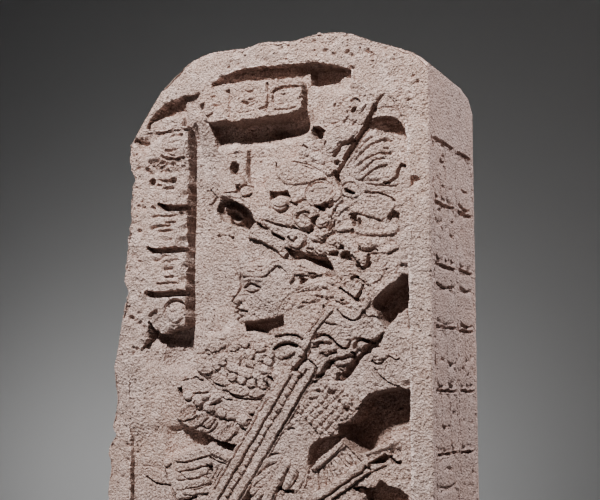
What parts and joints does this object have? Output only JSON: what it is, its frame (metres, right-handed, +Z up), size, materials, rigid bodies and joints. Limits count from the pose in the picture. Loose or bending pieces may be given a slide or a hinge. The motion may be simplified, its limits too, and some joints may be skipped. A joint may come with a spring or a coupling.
{
  "type": "carved stone stele",
  "caption": "Upright limestone slab with a worn round top, a sunk front field holding a standing robed figure in relief, and blocks of worn signs on the front and one side.",
  "frame": {"origin": "centre of the underside, where the slab stands on the floor", "axes": "+Z up, -Y out of the carved front, +X towards the side that carries the two columns of signs"},
  "size_m": [0.96, 0.41, 2.296],
  "materials": {
    "limestone": "pale pinkish-beige limestone, matte, finely pitted, with dark dirt in the deep cuts"
  },
  "bodies": {
    "root": {"stele": "limestone"}
  },
  "joints": []
}
